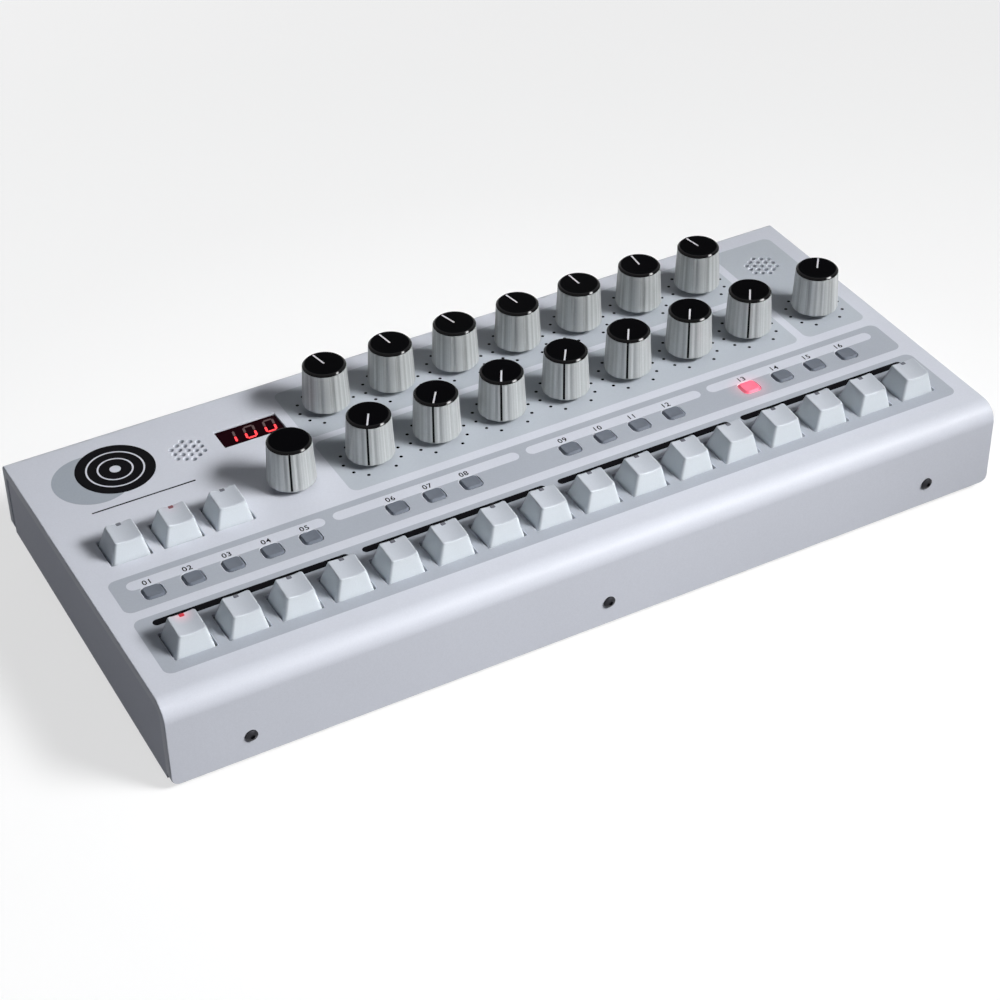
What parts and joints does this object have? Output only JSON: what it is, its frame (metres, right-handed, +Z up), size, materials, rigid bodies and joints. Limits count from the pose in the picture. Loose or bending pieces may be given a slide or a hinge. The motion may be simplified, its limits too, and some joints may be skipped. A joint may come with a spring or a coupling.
{
  "type": "drum machine",
  "caption": "Desktop drum machine: a folded sheet case with spring-loaded step keys, small lit buttons, tall turning knobs, a numeric display, two speaker grilles and rear sockets.",
  "frame": {"origin": "on the table, under the centre of the whole object's bounding box", "axes": "+X to the player's right, +Y to the back where the sockets are, +Z up"},
  "size_m": [0.42, 0.1945, 0.0699],
  "materials": {
    "case_silver": "fine matt silver powder coat",
    "tray_grey": "the cover's matt powder coat, a shade darker",
    "black_steel": "black oxide",
    "rubber": "matt",
    "board_green": "solder mask",
    "part_black": "matt",
    "display_red": "tinted gloss",
    "socket_black": "satin",
    "key_white": "satin",
    "button_smoke": "translucent satin",
    "knob_grey": "satin skirt under a glossy dark cap"
  },
  "bodies": {
    "case": {"top_cover": "case_silver", "base_tray": "tray_grey", "case_screws": "black_steel", "rubber_feet": "rubber", "control_board": "board_green", "switch_and_pot_bodies": "part_black", "display_module": "display_red", "speakers": "part_black", "rear_sockets": "socket_black"},
    "step_key_01": {"step_key_01": "key_white"},
    "step_key_02": {"step_key_02": "key_white"},
    "step_key_03": {"step_key_03": "key_white"},
    "step_key_04": {"step_key_04": "key_white"},
    "step_key_05": {"step_key_05": "key_white"},
    "step_key_06": {"step_key_06": "key_white"},
    "step_key_07": {"step_key_07": "key_white"},
    "step_key_08": {"step_key_08": "key_white"},
    "step_key_09": {"step_key_09": "key_white"},
    "step_key_10": {"step_key_10": "key_white"},
    "step_key_11": {"step_key_11": "key_white"},
    "step_key_12": {"step_key_12": "key_white"},
    "step_key_13": {"step_key_13": "key_white"},
    "step_key_14": {"step_key_14": "key_white"},
    "step_key_15": {"step_key_15": "key_white"},
    "step_key_16": {"step_key_16": "key_white"},
    "transport_key_1": {"transport_key_1": "key_white"},
    "transport_key_2": {"transport_key_2": "key_white"},
    "transport_key_3": {"transport_key_3": "key_white"},
    "button_01": {"button_01": "button_smoke"},
    "button_02": {"button_02": "button_smoke"},
    "button_03": {"button_03": "button_smoke"},
    "button_04": {"button_04": "button_smoke"},
    "button_05": {"button_05": "button_smoke"},
    "button_06": {"button_06": "button_smoke"},
    "button_07": {"button_07": "button_smoke"},
    "button_08": {"button_08": "button_smoke"},
    "button_09": {"button_09": "button_smoke"},
    "button_10": {"button_10": "button_smoke"},
    "button_11": {"button_11": "button_smoke"},
    "button_12": {"button_12": "button_smoke"},
    "button_13": {"button_13": "button_smoke"},
    "button_14": {"button_14": "button_smoke"},
    "button_15": {"button_15": "button_smoke"},
    "button_16": {"button_16": "button_smoke"},
    "front_knob_1": {"front_knob_1": "knob_grey"},
    "front_knob_2": {"front_knob_2": "knob_grey"},
    "front_knob_3": {"front_knob_3": "knob_grey"},
    "front_knob_4": {"front_knob_4": "knob_grey"},
    "front_knob_5": {"front_knob_5": "knob_grey"},
    "front_knob_6": {"front_knob_6": "knob_grey"},
    "front_knob_7": {"front_knob_7": "knob_grey"},
    "back_knob_1": {"back_knob_1": "knob_grey"},
    "back_knob_2": {"back_knob_2": "knob_grey"},
    "back_knob_3": {"back_knob_3": "knob_grey"},
    "back_knob_4": {"back_knob_4": "knob_grey"},
    "back_knob_5": {"back_knob_5": "knob_grey"},
    "back_knob_6": {"back_knob_6": "knob_grey"},
    "back_knob_7": {"back_knob_7": "knob_grey"},
    "volume_knob": {"volume_knob": "knob_grey"},
    "encoder_knob": {"encoder_knob": "knob_grey"}
  },
  "joints": [
    {"name": "step_key_01_press", "type": "slide", "parent": "case", "child": "step_key_01", "axis": [0, 0, -1], "range_m": [0, 0.004], "stiffness_N_per_m": 200, "springref_m": -0.002},
    {"name": "step_key_02_press", "type": "slide", "parent": "case", "child": "step_key_02", "axis": [0, 0, -1], "range_m": [0, 0.004], "stiffness_N_per_m": 200, "springref_m": -0.002},
    {"name": "step_key_03_press", "type": "slide", "parent": "case", "child": "step_key_03", "axis": [0, 0, -1], "range_m": [0, 0.004], "stiffness_N_per_m": 200, "springref_m": -0.002},
    {"name": "step_key_04_press", "type": "slide", "parent": "case", "child": "step_key_04", "axis": [0, 0, -1], "range_m": [0, 0.004], "stiffness_N_per_m": 200, "springref_m": -0.002},
    {"name": "step_key_05_press", "type": "slide", "parent": "case", "child": "step_key_05", "axis": [0, 0, -1], "range_m": [0, 0.004], "stiffness_N_per_m": 200, "springref_m": -0.002},
    {"name": "step_key_06_press", "type": "slide", "parent": "case", "child": "step_key_06", "axis": [0, 0, -1], "range_m": [0, 0.004], "stiffness_N_per_m": 200, "springref_m": -0.002},
    {"name": "step_key_07_press", "type": "slide", "parent": "case", "child": "step_key_07", "axis": [0, 0, -1], "range_m": [0, 0.004], "stiffness_N_per_m": 200, "springref_m": -0.002},
    {"name": "step_key_08_press", "type": "slide", "parent": "case", "child": "step_key_08", "axis": [0, 0, -1], "range_m": [0, 0.004], "stiffness_N_per_m": 200, "springref_m": -0.002},
    {"name": "step_key_09_press", "type": "slide", "parent": "case", "child": "step_key_09", "axis": [0, 0, -1], "range_m": [0, 0.004], "stiffness_N_per_m": 200, "springref_m": -0.002},
    {"name": "step_key_10_press", "type": "slide", "parent": "case", "child": "step_key_10", "axis": [0, 0, -1], "range_m": [0, 0.004], "stiffness_N_per_m": 200, "springref_m": -0.002},
    {"name": "step_key_11_press", "type": "slide", "parent": "case", "child": "step_key_11", "axis": [0, 0, -1], "range_m": [0, 0.004], "stiffness_N_per_m": 200, "springref_m": -0.002},
    {"name": "step_key_12_press", "type": "slide", "parent": "case", "child": "step_key_12", "axis": [0, 0, -1], "range_m": [0, 0.004], "stiffness_N_per_m": 200, "springref_m": -0.002},
    {"name": "step_key_13_press", "type": "slide", "parent": "case", "child": "step_key_13", "axis": [0, 0, -1], "range_m": [0, 0.004], "stiffness_N_per_m": 200, "springref_m": -0.002},
    {"name": "step_key_14_press", "type": "slide", "parent": "case", "child": "step_key_14", "axis": [0, 0, -1], "range_m": [0, 0.004], "stiffness_N_per_m": 200, "springref_m": -0.002},
    {"name": "step_key_15_press", "type": "slide", "parent": "case", "child": "step_key_15", "axis": [0, 0, -1], "range_m": [0, 0.004], "stiffness_N_per_m": 200, "springref_m": -0.002},
    {"name": "step_key_16_press", "type": "slide", "parent": "case", "child": "step_key_16", "axis": [0, 0, -1], "range_m": [0, 0.004], "stiffness_N_per_m": 200, "springref_m": -0.002},
    {"name": "transport_key_1_press", "type": "slide", "parent": "case", "child": "transport_key_1", "axis": [0, 0, -1], "range_m": [0, 0.004], "stiffness_N_per_m": 200, "springref_m": -0.002},
    {"name": "transport_key_2_press", "type": "slide", "parent": "case", "child": "transport_key_2", "axis": [0, 0, -1], "range_m": [0, 0.004], "stiffness_N_per_m": 200, "springref_m": -0.002},
    {"name": "transport_key_3_press", "type": "slide", "parent": "case", "child": "transport_key_3", "axis": [0, 0, -1], "range_m": [0, 0.004], "stiffness_N_per_m": 200, "springref_m": -0.002},
    {"name": "button_01_press", "type": "slide", "parent": "case", "child": "button_01", "axis": [0, 0, -1], "range_m": [0, 0.0006], "stiffness_N_per_m": 500, "springref_m": -0.001},
    {"name": "button_02_press", "type": "slide", "parent": "case", "child": "button_02", "axis": [0, 0, -1], "range_m": [0, 0.0006], "stiffness_N_per_m": 500, "springref_m": -0.001},
    {"name": "button_03_press", "type": "slide", "parent": "case", "child": "button_03", "axis": [0, 0, -1], "range_m": [0, 0.0006], "stiffness_N_per_m": 500, "springref_m": -0.001},
    {"name": "button_04_press", "type": "slide", "parent": "case", "child": "button_04", "axis": [0, 0, -1], "range_m": [0, 0.0006], "stiffness_N_per_m": 500, "springref_m": -0.001},
    {"name": "button_05_press", "type": "slide", "parent": "case", "child": "button_05", "axis": [0, 0, -1], "range_m": [0, 0.0006], "stiffness_N_per_m": 500, "springref_m": -0.001},
    {"name": "button_06_press", "type": "slide", "parent": "case", "child": "button_06", "axis": [0, 0, -1], "range_m": [0, 0.0006], "stiffness_N_per_m": 500, "springref_m": -0.001},
    {"name": "button_07_press", "type": "slide", "parent": "case", "child": "button_07", "axis": [0, 0, -1], "range_m": [0, 0.0006], "stiffness_N_per_m": 500, "springref_m": -0.001},
    {"name": "button_08_press", "type": "slide", "parent": "case", "child": "button_08", "axis": [0, 0, -1], "range_m": [0, 0.0006], "stiffness_N_per_m": 500, "springref_m": -0.001},
    {"name": "button_09_press", "type": "slide", "parent": "case", "child": "button_09", "axis": [0, 0, -1], "range_m": [0, 0.0006], "stiffness_N_per_m": 500, "springref_m": -0.001},
    {"name": "button_10_press", "type": "slide", "parent": "case", "child": "button_10", "axis": [0, 0, -1], "range_m": [0, 0.0006], "stiffness_N_per_m": 500, "springref_m": -0.001},
    {"name": "button_11_press", "type": "slide", "parent": "case", "child": "button_11", "axis": [0, 0, -1], "range_m": [0, 0.0006], "stiffness_N_per_m": 500, "springref_m": -0.001},
    {"name": "button_12_press", "type": "slide", "parent": "case", "child": "button_12", "axis": [0, 0, -1], "range_m": [0, 0.0006], "stiffness_N_per_m": 500, "springref_m": -0.001},
    {"name": "button_13_press", "type": "slide", "parent": "case", "child": "button_13", "axis": [0, 0, -1], "range_m": [0, 0.0006], "stiffness_N_per_m": 500, "springref_m": -0.001},
    {"name": "button_14_press", "type": "slide", "parent": "case", "child": "button_14", "axis": [0, 0, -1], "range_m": [0, 0.0006], "stiffness_N_per_m": 500, "springref_m": -0.001},
    {"name": "button_15_press", "type": "slide", "parent": "case", "child": "button_15", "axis": [0, 0, -1], "range_m": [0, 0.0006], "stiffness_N_per_m": 500, "springref_m": -0.001},
    {"name": "button_16_press", "type": "slide", "parent": "case", "child": "button_16", "axis": [0, 0, -1], "range_m": [0, 0.0006], "stiffness_N_per_m": 500, "springref_m": -0.001},
    {"name": "front_knob_1_turn", "type": "hinge", "parent": "case", "child": "front_knob_1", "pos_m": [-0.06094, 0.01533, 0.0488], "axis": [0, 0, -1], "range_deg": [0, 300]},
    {"name": "front_knob_2_turn", "type": "hinge", "parent": "case", "child": "front_knob_2", "pos_m": [-0.02666, 0.01533, 0.0488], "axis": [0, 0, -1], "range_deg": [-5, 295]},
    {"name": "front_knob_3_turn", "type": "hinge", "parent": "case", "child": "front_knob_3", "pos_m": [0.00762, 0.01533, 0.0488], "axis": [0, 0, -1], "range_deg": [0, 300]},
    {"name": "front_knob_4_turn", "type": "hinge", "parent": "case", "child": "front_knob_4", "pos_m": [0.0419, 0.01533, 0.0488], "axis": [0, 0, -1], "range_deg": [-4, 296]},
    {"name": "front_knob_5_turn", "type": "hinge", "parent": "case", "child": "front_knob_5", "pos_m": [0.07618, 0.01533, 0.0488], "axis": [0, 0, -1], "range_deg": [-3, 297]},
    {"name": "front_knob_6_turn", "type": "hinge", "parent": "case", "child": "front_knob_6", "pos_m": [0.11046, 0.01533, 0.0488], "axis": [0, 0, -1], "range_deg": [-4, 296]},
    {"name": "front_knob_7_turn", "type": "hinge", "parent": "case", "child": "front_knob_7", "pos_m": [0.14474, 0.01533, 0.0488], "axis": [0, 0, -1], "range_deg": [-4, 296]},
    {"name": "back_knob_1_turn", "type": "hinge", "parent": "case", "child": "back_knob_1", "pos_m": [-0.06094, 0.06162, 0.0488], "axis": [0, 0, -1], "range_deg": [-140, 160]},
    {"name": "back_knob_2_turn", "type": "hinge", "parent": "case", "child": "back_knob_2", "pos_m": [-0.02666, 0.06162, 0.0488], "axis": [0, 0, -1], "range_deg": [-142, 158]},
    {"name": "back_knob_3_turn", "type": "hinge", "parent": "case", "child": "back_knob_3", "pos_m": [0.00762, 0.06162, 0.0488], "axis": [0, 0, -1], "range_deg": [-136, 164]},
    {"name": "back_knob_4_turn", "type": "hinge", "parent": "case", "child": "back_knob_4", "pos_m": [0.0419, 0.06162, 0.0488], "axis": [0, 0, -1], "range_deg": [-141, 159]},
    {"name": "back_knob_5_turn", "type": "hinge", "parent": "case", "child": "back_knob_5", "pos_m": [0.07618, 0.06162, 0.0488], "axis": [0, 0, -1], "range_deg": [-147, 153]},
    {"name": "back_knob_6_turn", "type": "hinge", "parent": "case", "child": "back_knob_6", "pos_m": [0.11046, 0.06162, 0.0488], "axis": [0, 0, -1], "range_deg": [-155, 145]},
    {"name": "back_knob_7_turn", "type": "hinge", "parent": "case", "child": "back_knob_7", "pos_m": [0.14474, 0.06162, 0.0488], "axis": [0, 0, -1], "range_deg": [-141, 159]},
    {"name": "volume_knob_turn", "type": "hinge", "parent": "case", "child": "volume_knob", "pos_m": [0.18397, 0.01533, 0.0488], "axis": [0, 0, -1], "range_deg": [-188, 112]},
    {"name": "encoder_knob_turn", "type": "hinge", "parent": "case", "child": "encoder_knob", "pos_m": [-0.1005, 0.01533, 0.0488], "axis": [0, 0, -1], "continuous": true}
  ]
}
